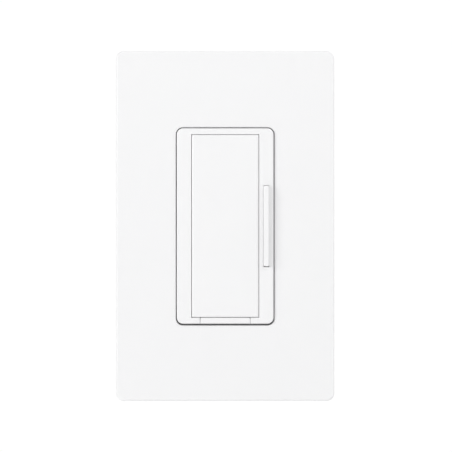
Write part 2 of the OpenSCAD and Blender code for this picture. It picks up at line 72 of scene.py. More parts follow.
def add_camera():
    face_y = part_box("wallplate")[0].y
    data = bpy.data.cameras.new("camera")
    data.lens = LENS
    data.sensor_width = SENSOR
    data.clip_start = 0.02
    camera = bpy.data.objects.new("camera", data)
    camera.location = (AIM_X, face_y - FRAME_WIDTH * LENS / SENSOR, 0)
    camera.rotation_euler = (math.radians(90), 0, 0)
    show(camera)
    bpy.context.scene.camera = camera


def add_area_light(name, at, size, watts):
    """A round lamp that faces the origin."""
    data = bpy.data.lights.new(name, "AREA")
    data.shape = "DISK"
    data.size = size
    data.energy = watts
    lamp = bpy.data.objects.new(name, data)
    lamp.location = at
    lamp.rotation_euler = (-at).to_track_quat("-Z", "Y").to_euler()
    show(lamp)


KEY_DIRECTION = Vector((-1.45, -1.0, 0.45)).normalized()
KEY_DISTANCE = 2.2
KEY_SIZE = 1.0
KEY_WATTS = 22.6
WORLD_SEEN = 1.02             # what the camera sees behind the object
WORLD_LEVEL = 0.814           # how much light the surroundings give on average
WORLD_LEAN = (0.52, 0.14, 0.0)    # how much more comes from the right, from behind and from above
TOP_PLACE = Vector((0.22, -0.45, 0.42))    # a weak light near the object, so that its foot is a shade darker
TOP_SIZE = 0.3
TOP_WATTS = 0.5


def add_world():
    world = bpy.data.worlds.new("studio")
    world.use_nodes = True
    tree = world.node_tree
    tree.nodes.clear()
    direction = tree.nodes.new("ShaderNodeTexCoord")
    lean = tree.nodes.new("ShaderNodeVectorMath")
    lean.operation = "DOT_PRODUCT"
    lean.inputs[1].default_value = WORLD_LEAN
    tree.links.new(direction.outputs["Generated"], lean.inputs[0])
    soft, seen = [tree.nodes.new("ShaderNodeBackground") for _ in range(2)]
    for background in (soft, seen):
        background.inputs["Color"].default_value = (1, 1, 1, 1)
    level = math_node(tree, "ADD", lean.outputs["Value"], WORLD_LEVEL)
    tree.links.new(level, soft.inputs["Strength"])
    seen.inputs["Strength"].default_value = WORLD_SEEN
    mix = tree.nodes.new("ShaderNodeMixShader")
    out = tree.nodes.new("ShaderNodeOutputWorld")
    path = tree.nodes.new("ShaderNodeLightPath")
    tree.links.new(path.outputs["Is Camera Ray"], mix.inputs[0])
    tree.links.new(soft.outputs[0], mix.inputs[1])
    tree.links.new(seen.outputs[0], mix.inputs[2])
    tree.links.new(mix.outputs[0], out.inputs[0])
    bpy.context.scene.world = world


# -------- mesh helpers

WELD_GAP = 2e-6               # points closer than this, in metres, are one
CORNERS = [(sx, sz) for sx in (-1, 1) for sz in (-1, 1)]
CORNER_STEPS = 10             # facets to a rounded corner of an outline
FRONT_STEPS = 8               # facets to a rounded front edge
WIRE_SIDES = 10
WIRE_BEND = 0.6
FULL_TURN = 2 * math.pi
Point = namedtuple("Point", "x y z")


def box(name):
    """The lowest and highest corner of a CAD node, in millimetres."""
    return [Point(*[round(c / MM, 4) for c in corner]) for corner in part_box(name)]


def shift(x, y, z):
    """A move in millimetres."""
    return Matrix.Translation((x * MM, y * MM, z * MM))


def span(side, near, far):
    """Limits from near to far on one side of the middle (1 or -1)."""
    return tuple(sorted((side * near, side * far)))


def from_bmesh(name, bm):
    """A new piece from a finished mesh in metres."""
    bmesh.ops.remove_doubles(bm, verts=bm.verts, dist=1e-7)
    bmesh.ops.recalc_face_normals(bm, faces=bm.faces)
    mesh = bpy.data.meshes.new(name)
    bm.to_mesh(mesh)
    bm.free()
    piece = bpy.data.objects.new(name, mesh)
    show(piece)
    return piece


def outline(w, h, r, y, x=0.0, z=0.0):
    """A rounded rectangle of size w by h about (x, z), in the plane at y, anticlockwise from the front."""
    r = max(r, 0.01)
    points = []
    for corner in range(4):
        sx = 1 if corner in (0, 3) else -1
        sz = 1 if corner in (0, 1) else -1
        for step in range(CORNER_STEPS + 1):
            a = math.radians(90) * (corner + step / CORNER_STEPS)
            px = x + sx * (w / 2 - r) + r * math.cos(a)
            pz = z + sz * (h / 2 - r) + r * math.sin(a)
            points.append((px, y, pz))
    return points


def loft(name, loops, ring=False):
    """Joins loops of equal length into a skin: closed on itself if ring, or else capped at both ends."""
    bm = bmesh.new()
    rows = [[bm.verts.new([c * MM for c in p]) for p in loop] for loop in loops]
    count = len(rows[0])
    pairs = list(zip(rows, rows[1:]))
    if ring:
        pairs.append((rows[-1], rows[0]))
    for low, high in pairs:
        for k in range(count):
            n = (k + 1) % count
            bm.faces.new((low[k], low[n], high[n], high[k]))
    if not ring:
        bm.faces.new(rows[0])
        bm.faces.new(rows[-1][::-1])
    return from_bmesh(name, bm)


def rounded_front(w, h, r, face, fillet, x=0.0, fillet_z=None, depth=None):
    """Loops of a rounded front edge; fillet_z and depth make its section elliptical."""
    fillet_z = fillet_z or fillet
    depth = depth or fillet
    loops = []
    for step in range(FRONT_STEPS + 1):
        a = math.radians(90) * step / FRONT_STEPS
        dx, dz = fillet * (1 - math.cos(a)), fillet_z * (1 - math.cos(a))
        y = face + depth * (1 - math.sin(a))
        loops.append(outline(w - 2 * dx, h - 2 * dz, r - min(dx, dz, r * 0.9), y, x))
    return loops


def edge(w, h, r, y, fillet, flat, wall, wall_first, steps=4):
    """Loops over a rounded edge of an outline about the origin.

    Its flat side leaves it outwards (flat 1) or inwards (flat -1), and its wall leaves it along Y (1 or -1).
    """
    loops = []
    for step in range(steps + 1) if wall_first else range(steps, -1, -1):
        a = math.radians(90) * step / steps
        d = flat * fillet * (1 - math.cos(a))
        along = wall * fillet * (1 - math.sin(a))
        loops.append(outline(w + 2 * d, h + 2 * d, r + d, y + along))
    return loops


def block(name, x, y, z):
    """A plain box between limits, used to cut or to build up a piece."""
    corners = [(x[0], z[0]), (x[1], z[0]), (x[1], z[1]), (x[0], z[1])]
    return loft(name, [[(a, level, b) for a, b in corners] for level in y])


def turned(name, profile, axis="y", at=(0, 0, 0), count=48, radius=None):
    """Revolves (radius, place along the axis) pairs. radius(r, place, angle) may change a radius."""
    loops = []
    for r, t in profile:
        loop = []
        for k in range(count):
            a = FULL_TURN / count * k
            rr = radius(r, t, a) if radius else r
            u, v = rr * math.cos(a), rr * math.sin(a)
            point = {"x": (t, u, v), "y": (v, t, u), "z": (u, v, t)}[axis]
            loop.append([c + offset for c, offset in zip(point, at)])
        loops.append(loop)
    return loft(name, loops)


def bake(piece):
    """Applies the piece's modifiers."""
    bpy.context.view_layer.update()
    graph = bpy.context.evaluated_depsgraph_get()
    mesh = bpy.data.meshes.new_from_object(piece.evaluated_get(graph))
    piece.modifiers.clear()
    piece.data = mesh


def combine(piece, others, operation):
    """Cuts others out of the piece, or joins them to it, and removes them."""
    for other in others:
        step = piece.modifiers.new("solid", "BOOLEAN")
        step.operation = operation
        step.solver = "EXACT"
        step.object = other
    bake(piece)
    for other in others:
        bpy.data.objects.remove(other)
    return piece


def cut(piece, *others):
    return combine(piece, others, "DIFFERENCE")


def join(piece, *others):
    return combine(piece, others, "UNION")


def soften(piece, width, segments=3, angle=40):
    """Rounds every edge sharper than angle and shades the result smoothly."""
    weld = piece.modifiers.new("weld", "WELD")
    weld.merge_threshold = WELD_GAP
    bevel = piece.modifiers.new("bevel", "BEVEL")
    bevel.width = width * MM
    bevel.segments = segments
    bevel.limit_method = "ANGLE"
    bevel.angle_limit = math.radians(angle)
    bevel.miter_outer = "MITER_ARC"
    bevel.harden_normals = True
    bevel.use_clamp_overlap = True
    smooth(piece)
    return piece


def smooth(piece, angle=40):
    """Smooth shading, with edges sharper than angle kept."""
    piece.data.shade_smooth()
    piece.data.set_sharp_from_angle(angle=math.radians(angle))


def weigh(piece):
    """Lets the large faces set the normals, so that they shade flat up to their rounded edges."""
    normals = piece.modifiers.new("normals", "WEIGHTED_NORMAL")
    normals.keep_sharp = True
    normals.weight = 80


def rod(name, radius, axis, start, end, at=(0, 0, 0), count=32):
    """A round bar used to cut or to build up a piece; at gives its place across its axis."""
    return turned(name, [(radius, start), (radius, end)], axis, at, count)


def copies(name, source, moves):
    """One mesh that holds a copy of the source at each move; the source is removed."""
    bm = bmesh.new()
    for move in moves:
        mesh = source.data.copy()
        mesh.transform(move)
        bm.from_mesh(mesh)
        bpy.data.meshes.remove(mesh)
    bpy.data.objects.remove(source)
    return from_bmesh(name, bm)


def dress(piece, material):
    piece.data.materials.clear()
    piece.data.materials.append(material)


def place(piece, look, *nodes, body="base", slot=None):
    """Gives a finished piece its material, and puts it on a body in place of CAD nodes."""
    dress(piece, MATERIALS[look])
    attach(piece, body)
    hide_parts(*nodes)


# -------- material helpers

def new_material(name, roughness=0.5, metallic=0.0):
    """A principled material: returns it with its node tree and shader."""
    material = bpy.data.materials.new(name)
    material.use_nodes = True
    tree = material.node_tree
    tree.nodes.clear()
    out = tree.nodes.new("ShaderNodeOutputMaterial")
    shader = tree.nodes.new("ShaderNodeBsdfPrincipled")
    shader.inputs["Roughness"].default_value = roughness
    shader.inputs["Metallic"].default_value = metallic
    tree.links.new(shader.outputs[0], out.inputs[0])
    return material, tree, shader


def object_coordinates(tree):
    return tree.nodes.new("ShaderNodeTexCoord").outputs["Object"]


def noise(tree, size, stretch=(1, 1, 1), detail=3.0, distortion=0.0):
    """Noise with grains about size across, longer along an axis with stretch."""
    mapping = tree.nodes.new("ShaderNodeMapping")
    mapping.inputs["Scale"].default_value = [1 / (size * MM * s) for s in stretch]
    tree.links.new(object_coordinates(tree), mapping.inputs["Vector"])
    texture = tree.nodes.new("ShaderNodeTexNoise")
    texture.inputs["Scale"].default_value = 1.0
    texture.inputs["Detail"].default_value = detail
    texture.inputs["Distortion"].default_value = distortion
    tree.links.new(mapping.outputs[0], texture.inputs["Vector"])
    return texture.outputs["Fac"]


def remap(tree, value, low, high, start=0.0, end=1.0):
    """value, from start to end, spread over low to high."""
    node = tree.nodes.new("ShaderNodeMapRange")
    node.inputs["From Min"].default_value = start
    node.inputs["From Max"].default_value = end
    node.inputs["To Min"].default_value = low
    node.inputs["To Max"].default_value = high
    tree.links.new(value, node.inputs["Value"])
    return node.outputs["Result"]


def math_node(tree, operation, a, b=None):
    node = tree.nodes.new("ShaderNodeMath")
    node.operation = operation
    for socket, value in zip(node.inputs, (a, b)):
        if value is None:
            continue
        if isinstance(value, (int, float)):
            socket.default_value = value
        else:
            tree.links.new(value, socket)
    return node.outputs[0]


def blend_colors(tree, share, first, second):
    """A mix of two colours or colour sockets by share."""
    node = tree.nodes.new("ShaderNodeMix")
    node.data_type = "RGBA"
    tree.links.new(share, node.inputs[0])
    for socket, value in ((node.inputs[6], first), (node.inputs[7], second)):
        if isinstance(value, (tuple, list)):
            socket.default_value = (*value, 1)
        else:
            tree.links.new(value, socket)
    return node.outputs[2]


def shade(color, factor):
    return tuple(min(1.0, c * factor) for c in color)


def bump(tree, shader, height, depth, below=None):
    """Relief of the given depth, on top of the relief below."""
    node = tree.nodes.new("ShaderNodeBump")
    node.inputs["Strength"].default_value = 1.0
    node.inputs["Distance"].default_value = depth * MM
    tree.links.new(height, node.inputs["Height"])
    if below:
        tree.links.new(below, node.inputs["Normal"])
    tree.links.new(node.outputs[0], shader.inputs["Normal"])
    return node.outputs[0]


def tint_and_gloss(tree, shader, color, roughness):
    """Feeds the shader's colour and its roughness."""
    tree.links.new(color, shader.inputs["Base Color"])
    tree.links.new(roughness, shader.inputs["Roughness"])


def axis_value(tree, axis):
    split = tree.nodes.new("ShaderNodeSeparateXYZ")
    tree.links.new(object_coordinates(tree), split.inputs[0])
    return split.outputs[axis.upper()]


# -------- materials

def moulded_plastic(name, color, roughness, grain, grain_depth, mottle=0.02):
    """Moulded plastic: a fine tool texture, a slow waviness and a faint unevenness of tone and gloss."""
    material, tree, shader = new_material(name)
    tone = noise(tree, 9, detail=2)
    mottled = blend_colors(tree, tone, shade(color, 1 - mottle), shade(color, 1 + mottle))
    gloss = noise(tree, 2.2, detail=4)
    tint_and_gloss(tree, shader, mottled, remap(tree, gloss, roughness - 0.05, roughness + 0.05))
    wave = bump(tree, shader, noise(tree, 14, detail=1), 0.012)
    bump(tree, shader, noise(tree, grain, detail=2), grain_depth, wave)
    return material


def scuffed_gloss(name, color, roughness):
    """Polished plastic that fingers touch: hairline scuffs up and down, and faint smears in the gloss."""
    material, tree, shader = new_material(name)
    tone = noise(tree, 12, detail=2)
    mottled = blend_colors(tree, tone, shade(color, 0.99), shade(color, 1.01))
    smear = noise(tree, 5, stretch=(1, 1, 1.8), detail=5, distortion=0.4)
    hair = noise(tree, 0.09, stretch=(1, 1, 40), detail=2)
    gloss = math_node(tree, "ADD", remap(tree, smear, 0, 0.10), remap(tree, hair, 0, 0.05))
    tint_and_gloss(tree, shader, mottled, math_node(tree, "ADD", gloss, roughness - 0.07))
    wave = bump(tree, shader, noise(tree, 16, detail=1), 0.012)
    fine = bump(tree, shader, noise(tree, 0.16, detail=2), 0.0012, wave)
    bump(tree, shader, hair, 0.0006, fine)
    return material


def brushed_metal(name, color, roughness, along="z", contrast=0.08):
    """Rolled or brushed metal, its lines running along one axis, with a few cloudy stains."""
    material, tree, shader = new_material(name, metallic=1.0)
    stretch = [60 if axis == along else 1 for axis in "xyz"]
    lines = noise(tree, 0.05, stretch=stretch, detail=3)
    cloud = noise(tree, 7, detail=4)
    lined = blend_colors(tree, lines, shade(color, 1 - contrast), shade(color, 1 + contrast))
    clouded = blend_colors(tree, remap(tree, cloud, 0, 0.35, 0.35, 0.75), lined, shade(color, 0.86))
    rough = math_node(tree, "ADD", remap(tree, lines, -0.06, 0.08), remap(tree, cloud, -0.03, 0.06))
    tint_and_gloss(tree, shader, clouded, math_node(tree, "ADD", rough, roughness))
    bump(tree, shader, lines, 0.0025)
    return material


def plated_metal(name, color, tint, roughness):
    """Plated or dyed metal, blotched towards a second colour, with a fine orange-peel relief."""
    material, tree, shader = new_material(name, metallic=1.0)
    blotch = noise(tree, 1.3, detail=5, distortion=0.6)
    blotched = blend_colors(tree, remap(tree, blotch, 0, 1, 0.35, 0.7), color, tint)
    tint_and_gloss(tree, shader, blotched, remap(tree, blotch, roughness - 0.08, roughness + 0.12))
    fine = bump(tree, shader, noise(tree, 0.12, detail=3), 0.003)
    bump(tree, shader, noise(tree, 0.8, detail=2), 0.004, fine)
    return material


def fibrous(name, color, dark):
    """Pressed fibre: short dark strands in a mottled sheet."""
    material, tree, shader = new_material(name, roughness=0.75)
    strands = noise(tree, 0.18, stretch=(5, 1, 1), detail=4, distortion=1.5)
    clouds = noise(tree, 2, detail=3)
    share = math_node(tree, "MULTIPLY", remap(tree, strands, 0.2, 1), remap(tree, clouds, 0.5, 1.3))
    mottled = blend_colors(tree, share, dark, color)
    tint_and_gloss(tree, shader, mottled, remap(tree, strands, 0.65, 0.85))
    bump(tree, shader, strands, 0.01)
    return material


def circuit_laminate(name, mask, track):
    """Solder mask over copper tracks that run in squared-off paths, slightly raised."""
    material, tree, shader = new_material(name)
    mapping = tree.nodes.new("ShaderNodeMapping")
    mapping.inputs["Scale"].default_value = (1 / (3.2 * MM), 0, 1 / (2.6 * MM))
    tree.links.new(object_coordinates(tree), mapping.inputs["Vector"])
    cells = tree.nodes.new("ShaderNodeTexVoronoi")
    cells.distance = "CHEBYCHEV"
    cells.feature = "F2"
    cells.inputs["Scale"].default_value = 1.0
    tree.links.new(mapping.outputs[0], cells.inputs["Vector"])
    steps = math_node(tree, "FRACT", math_node(tree, "MULTIPLY", cells.outputs["Distance"], 3.0))
    paths = remap(tree, steps, 0, 1, 0.42, 0.5)
    tracked = blend_colors(tree, paths, mask, track)
    tint_and_gloss(tree, shader, tracked, remap(tree, noise(tree, 0.6), 0.35, 0.5))
    shader.inputs["Coat Weight"].default_value = 0.4
    shader.inputs["Coat Roughness"].default_value = 0.15
    bump(tree, shader, paths, 0.03)
    return material


def banded(name, color, bands, axis):
    """A lacquered body with painted bands: (middle, half width, colour) along an axis."""
    material, tree, shader = new_material(name)
    position = axis_value(tree, axis)
    mottle = noise(tree, 1.0, detail=3)
    painted = blend_colors(tree, mottle, shade(color, 0.93), shade(color, 1.05))
    for middle, half, paint in bands:
        away = math_node(tree, "ABSOLUTE", math_node(tree, "SUBTRACT", position, middle * MM))
        inside = math_node(tree, "LESS_THAN", away, half * MM)
        painted = blend_colors(tree, inside, painted, paint)
    tint_and_gloss(tree, shader, painted, remap(tree, mottle, 0.29, 0.43))
    bump(tree, shader, mottle, 0.01)
    return material


def blank_foil(name, color, line, middle, half, inset, thickness):
    """A plain foil label with one thin printed frame inside its edge and nothing written on it."""
    material, tree, shader = new_material(name, metallic=0.6)
    away = []
    for axis, centre, reach in zip("xz", middle, half):
        offset = math_node(tree, "SUBTRACT", axis_value(tree, axis), centre * MM)
        edge_at = (reach - inset) * MM
        away.append(math_node(tree, "SUBTRACT", math_node(tree, "ABSOLUTE", offset), edge_at))
    nearest = math_node(tree, "MAXIMUM", *away)
    on_line = math_node(tree, "LESS_THAN", math_node(tree, "ABSOLUTE", nearest), thickness * MM)
    brushed = noise(tree, 0.06, stretch=(50, 1, 1), detail=2)
    foil = blend_colors(tree, brushed, shade(color, 0.94), shade(color, 1.04))
    framed = blend_colors(tree, on_line, foil, line)
    tint_and_gloss(tree, shader, framed, remap(tree, brushed, 0.32, 0.45))
    bump(tree, shader, brushed, 0.002)
    return material


RESISTOR_BANDS = [
    (0.75, 0.25, (0.35, 0.05, 0.02)),
    (2.0, 0.25, (0.04, 0.04, 0.04)),
    (3.2, 0.25, (0.75, 0.30, 0.03)),
    (5.3, 0.25, (0.60, 0.45, 0.12)),
]
FUSE_CAPS = [(z, 0.85, (0.50, 0.50, 0.49)) for z in (-0.8, -7.2)]
RECIPES = {
    "wallplate_plastic": (moulded_plastic, (0.815, 0.815, 0.820), 0.42, 0.22, 0.0030, 0.004),
    "control_plastic": (scuffed_gloss, (0.820, 0.820, 0.825), 0.32),
    "adapter_plastic": (moulded_plastic, (0.76, 0.76, 0.75), 0.58, 0.30, 0.008),
    "aluminium_sheet": (brushed_metal, (0.70, 0.71, 0.72), 0.34, "z", 0.16),
    "zinc_steel": (plated_metal, (0.62, 0.63, 0.65), (0.70, 0.66, 0.55), 0.30),
    "painted_screw": (moulded_plastic, (0.80, 0.80, 0.79), 0.38, 0.10, 0.004),
    "fibre_washer": (fibrous, (0.34, 0.15, 0.08), (0.12, 0.05, 0.03)),
    "spring_steel": (brushed_metal, (0.50, 0.51, 0.53), 0.30, "x"),
    "grey_nylon": (moulded_plastic, (0.52, 0.53, 0.54), 0.50, 0.20, 0.006, 0.04),
    "contact_copper": (brushed_metal, (0.80, 0.42, 0.26), 0.30, "x"),
    "brass_plate": (plated_metal, (0.80, 0.60, 0.28), (0.66, 0.46, 0.20), 0.30),
    "insulating_card": (fibrous, (0.78, 0.74, 0.60), (0.62, 0.57, 0.43)),
    "board_laminate": (circuit_laminate, (0.008, 0.10, 0.045), (0.025, 0.19, 0.08)),
    "black_component": (moulded_plastic, (0.022, 0.022, 0.024), 0.55, 0.12, 0.008, 0.15),
    "thermal_pad": (moulded_plastic, (0.45, 0.52, 0.55), 0.7, 0.25, 0.01, 0.05),
    "ferrite_coating": (moulded_plastic, (0.62, 0.50, 0.10), 0.45, 0.35, 0.02, 0.06),
    "winding_wire": (brushed_metal, (0.66, 0.26, 0.10), 0.22, "y"),
    "film_case": (moulded_plastic, (0.72, 0.38, 0.03), 0.30, 0.5, 0.01, 0.05),
    "varistor_coat": (moulded_plastic, (0.05, 0.13, 0.42), 0.28, 0.6, 0.03, 0.06),
    "housing_plastic": (moulded_plastic, (0.026, 0.026, 0.028), 0.50, 0.36, 0.030, 0.12),
    "black_screw": (plated_metal, (0.025, 0.025, 0.028), (0.06, 0.055, 0.05), 0.42),
    "green_screw": (plated_metal, (0.03, 0.26, 0.09), (0.06, 0.36, 0.16), 0.34),
    "resistor_coat": (banded, (0.62, 0.47, 0.26), RESISTOR_BANDS, "z"),
    "diode_body": (banded, (0.03, 0.03, 0.03), [(-22.4, 0.35, (0.55, 0.55, 0.55))], "z"),
    "fuse_body": (banded, (0.72, 0.70, 0.62), FUSE_CAPS, "z"),
    "can_sleeve": (banded, (0.03, 0.04, 0.12), [(19.6, 0.45, (0.60, 0.61, 0.62))], "y"),
    "blank_label": (blank_foil, (0.66, 0.67, 0.68), (0.18, 0.18, 0.19), (0, 2), (12, 20), 1.2, 0.15),
}
MATERIALS = {name: make(name, *settings) for name, (make, *settings) in RECIPES.items()}


# -------- wallplate and controls

PLATE_EDGE = 0.7
PLATE_CORNER = 2.8
PLATE_FACE = 2.0
PLATE_SIDE = 1.7
OPENING = (33.5, 67.42)
OPENING_DROP = 0.16      # the opening sits this much low in the plate
OPENING_EDGE = 0.42
OPENING_CORNER = 2.35
LIP = 1.5                # width of the lip round the opening
LIP_BACK = -4.0


def wallplate():
    low, high = box("wallplate")
    w, h = high.x - low.x, high.z - low.z
    ceiling = low.y + PLATE_FACE
    lip = (OPENING[0] + 2 * LIP, OPENING[1] + 2 * LIP, OPENING_CORNER + LIP)
    cavity = (w - 2 * PLATE_SIDE, h - 2 * PLATE_SIDE, 1.6)
    loops = edge(w, h, PLATE_CORNER, high.y, 0.2, -1, -1, False)
    loops += edge(w, h, PLATE_CORNER, low.y, PLATE_EDGE, -1, 1, True, steps=8)
    opening = edge(*OPENING, OPENING_CORNER, low.y, OPENING_EDGE, 1, 1, False)
    opening += edge(*OPENING, OPENING_CORNER, LIP_BACK, 0.15, 1, -1, True)
    loops += [[(x, y, z - OPENING_DROP) for x, y, z in loop] for loop in opening]
    loops += edge(*lip, LIP_BACK, 0.15, -1, -1, False)
    loops += edge(*lip, ceiling, 0.3, 1, 1, True)
    loops += edge(*cavity, ceiling, 0.4, -1, 1, False)
    loops += edge(*cavity, high.y, 0.2, 1, -1, True)
    piece = loft("wallplate_moulding", loops, ring=True)
    ridges = []
    for side in (-1, 1):
        outer = cavity[0] / 2 + 0.1
        for z in (-30, 30):
            ridges.append(block("ridge", span(side, outer - 0.7, outer), (-1.0, -0.3), (z - 5, z + 5)))
        for z in range(-45, 46, 15):
            inner = lip[0] / 2 - 0.1 if abs(z) < 34 else 2
            depth = (ceiling - 0.1, ceiling + 0.7)
            ridges.append(block("rib", span(side, inner, outer), depth, (z - 0.4, z + 0.4)))
    join(piece, *ridges)
    smooth(piece, 35)
    weigh(piece)
    place(piece, "wallplate_plastic", "wallplate")


WELL = (23.08, 62.36)
GUIDE = 1.2
THIN_GUIDE = 0.8              # beside the dimmer bar
GUIDE_END = 32.1
BEARING = Point(0, -4.4, 28.8)
PIVOT = Point(14, -6.0, 0)
STAKE = (14.8, 30)
SPRING_Z = -22
TIP_RADIUS = 1.2              # of the rounded tips that rest on the plungers
TIP_Y = -0.65 - TIP_RADIUS


def bezel():
    low, high = box("bezel")
    w, h = high.x - low.x, high.z - low.z
    back = box("yoke")[0].y
    face_back = low.y + 2.0
    wall = 1.2
    inside = (w - 2 * wall, h - 2 * wall, 0.9)
    loops = edge(*inside, face_back, 0.3, -1, 1, False)
    loops += edge(*inside, back, 0.15, 1, -1, True)
    loops += edge(w, h, 2.1, back, 0.15, -1, -1, False)
    loops += rounded_front(w, h, 2.1, low.y, 0.45)
    piece = loft("bezel_moulding", loops)
    guide_in = WELL[0] / 2
    depth = (face_back - 0.1, back)
    walls = [
        block("guide", (-guide_in - GUIDE, -guide_in), depth, (-GUIDE_END, GUIDE_END)),
        block("guide", (guide_in, guide_in + THIN_GUIDE), depth, (-GUIDE_END, GUIDE_END)),
    ]
    for side in (-1, 1):
        ends = span(side, 16, GUIDE_END)
        walls.append(block("guide", (guide_in - 0.05, guide_in + GUIDE), depth, ends))
    stake = [(1.5, face_back - 0.1), (1.5, back), (1.15, back), (1.15, 0.02)]
    stake += [(1.6, 0.05), (1.65, 0.25), (1.35, 0.62), (0.7, 0.8)]
    for sx, sz in CORNERS:
        walls.append(turned("stake", stake, "y", (sx * STAKE[0], 0, sz * STAKE[1]), 24))
    join(piece, *walls)
    across = guide_in + GUIDE + 0.1
    front = low.y - 1
    tab = box("service_tab")
    slot_x = (PIVOT.x - 0.95, PIVOT.x + 0.95)
    cut(
        piece,
        block("well", (-guide_in, guide_in), (front, 0.05), (-WELL[1] / 2, WELL[1] / 2)),
        block("slot", slot_x, (front, face_back + 0.1), (-13.95, 13.84)),
        rod("seat", 0.62, "x", PIVOT.x - 2.2, PIVOT.x + 2, (0, PIVOT.y, 0)),
        rod("bearing", 1.05, "x", -across, across, BEARING),
        block("window", (-across, across), (-5.0, 0.05), (-28.2, -24.8)),
        block("notch", (tab[0].x - 0.16, tab[1].x + 0.13), (front, -5.3), (-h, -31)),
        block("way", (-4.65, 4.65), (-5.4, 0.05), (-32.6, -31)),
    )
    soften(piece, 0.1, 2, 50)
    place(piece, "control_plastic", "bezel")


def paddle():
    w, h = 22.8, 62.1
    face = box("tap_paddle")[0].y
    ceiling = face + 1.6
    rim = -4.2
    inside = (w - 2.4, h - 2.4, 0.4)
    loops = edge(*inside, ceiling, 0.3, -1, 1, False)
    loops += edge(*inside, rim, 0.1, 1, -1, True)
    loops += edge(w, h, 0.25, rim, 0.1, -1, -1, False)
    loops += rounded_front(w, h, 0.25, face, 0.75, fillet_z=1.1, depth=0.5)
    piece = loft("paddle_moulding", loops)
    ribs_back = -5.4
    behind = (ceiling - 0.1, ribs_back)
    half_w, half_h = inside[0] / 2 + 0.1, inside[1] / 2 + 0.1
    extras = [
        block("rib", (-0.5, 0.5), behind, (-half_h, -25.5)),
        block("rib", (-0.5, 0.5), behind, (-18.5, half_h)),
    ]
    for z in (-14, -4, 14, 23):
        extras.append(block("rib", (-half_w, half_w), behind, (z - 0.5, z + 0.5)))
    for side in (-1, 1):
        inner, outer = side * (inside[0] / 2 - 1.2), side * w / 2
        extras.append(rod("boss", 1.8, "x", inner, outer - side * 0.02, BEARING))
        trunnion = [(1.0, outer - side * 0.1), (1.0, side * 12.3), (0.8, side * 12.5)]
        extras.append(turned("trunnion", trunnion, "x", BEARING, 32))
        extras.append(block("ear", span(side, w / 2 - 0.1, 12.4), (-4.95, rim), (-28, -25)))
    extras.append(block("post", (-1.5, 1.5), (ceiling - 0.1, TIP_Y), (4.8, 7.2)))
    extras.append(rod("tip", TIP_RADIUS, "x", -1.5, 1.5, (0, TIP_Y, 6)))
    peg = [(1.4, ceiling - 0.1), (1.4, ribs_back - 0.3), (1.1, ribs_back)]
    extras.append(turned("peg", peg, "y", (0, 0, SPRING_Z), 32))
    join(piece, *extras)
    soften(piece, 0.08, 2, 50)
    place(piece, "control_plastic", "tap_paddle", body="paddle")


def dimmer_bar():
    face = box("dimmer_rocker")[0].y
    x = PIVOT.x
    foot_back = -4.1
    bar = (1.8, 27.4, 0.4)
    loops = [outline(*bar, foot_back, x)] + rounded_front(*bar, face, 0.36, x, depth=0.42)
    piece = loft("bar_moulding", loops)
    extras = [block("foot", (x - 1.1, x + 1.1), (-5.3, foot_back), (-15, 15))]
    for z in (-9, 9):
        reach = (x - 0.8, x + 0.8)
        extras.append(block("leg", reach, (foot_back - 0.1, TIP_Y), (z - TIP_RADIUS, z + TIP_RADIUS)))
        extras.append(rod("tip", TIP_RADIUS, "x", *reach, (0, TIP_Y, z)))
    join(piece, *extras)
    cut(piece, rod("bore", 0.65, "x", x - 2, x + 2, (0, PIVOT.y, PIVOT.z)))
    soften(piece, 0.06, 2, 50)
    place(piece, "control_plastic", "dimmer_rocker", body="rocker")


def service_tab():
    low, high = box("service_tab")
    bezel_low = box("bezel")[0]
    half = high.x
    top = -WELL[1] / 2 - 0.02
    section = [(bezel_low.y, top), (-5.5, top), (-5.5, low.z)]
    for step in range(9):
        a = math.radians(90) * step / 8
        section.append((bezel_low.y + 0.45 * (1 - math.sin(a)), low.z + 0.45 * (1 - math.cos(a))))
    piece = loft("tab_moulding", [[(x, y, z) for y, z in section] for x in (-half, half)])
    tall = 10
    corners = [outline(2 * half, tall, 0.45, y, 0, top - tall / 2) for y in (low.y - 1, high.y)]
    combine(piece, [loft("corners", corners)], "INTERSECT")
    join(piece, block("stem", (-4.5, 4.5), (-5.6, high.y), (-32.45, high.z - 0.001)))
    soften(piece, 0.1, 3, 40)
    place(piece, "control_plastic", "service_tab", body="service_switch")


# -------- metalwork and fasteners

THREAD_ROWS = 6               # rings of points to one turn of a thread
MACHINE_THREAD = (1.75, 1.33, 0.794)    # outer radius, inner radius and pitch
TERMINAL_Y = 18               # the middle of a wire screw, beside the common and traveller terminals
TERMINAL_Z = 16
GROUND_Z = -20


def screw(axis, head, major, minor, pitch, threaded, tip, count=28):
    """A machine screw: head is its (radius, place) profile, and threaded is its thread's start and end."""
    start, end = threaded
    rows = int((end - start) / pitch * THREAD_ROWS)
    grooved = [(major, start + (end - start) * k / rows) for k in range(rows + 1)]

    def radius(r, t, a):
        if not start <= t <= end or r != major:
            return r
        phase = (t / pitch - a / FULL_TURN) % 1
        crest = min(max((abs(2 * phase - 1) - 0.12) / 0.75, 0), 1)
        fade = min(1, (t - start) / pitch, (end - t) / pitch)
        return minor + (major - minor) * crest * fade

    return turned("screw", head + grooved + tip, axis, count=count, radius=radius)


def finish_screws(node, source, look, moves):
    """Copies a screw to its places, as the piece that stands for a node."""
    piece = copies(node + "_threaded", source, moves)
    smooth(piece, 35)
    place(piece, look, node)


def above_and_below(node, radius):
    """Moves to the two screws of a node, from the middle; radius is that of their heads."""
    reach = box(node)[1].z - radius
    return [shift(0, 0, reach), shift(0, 0, -reach)]


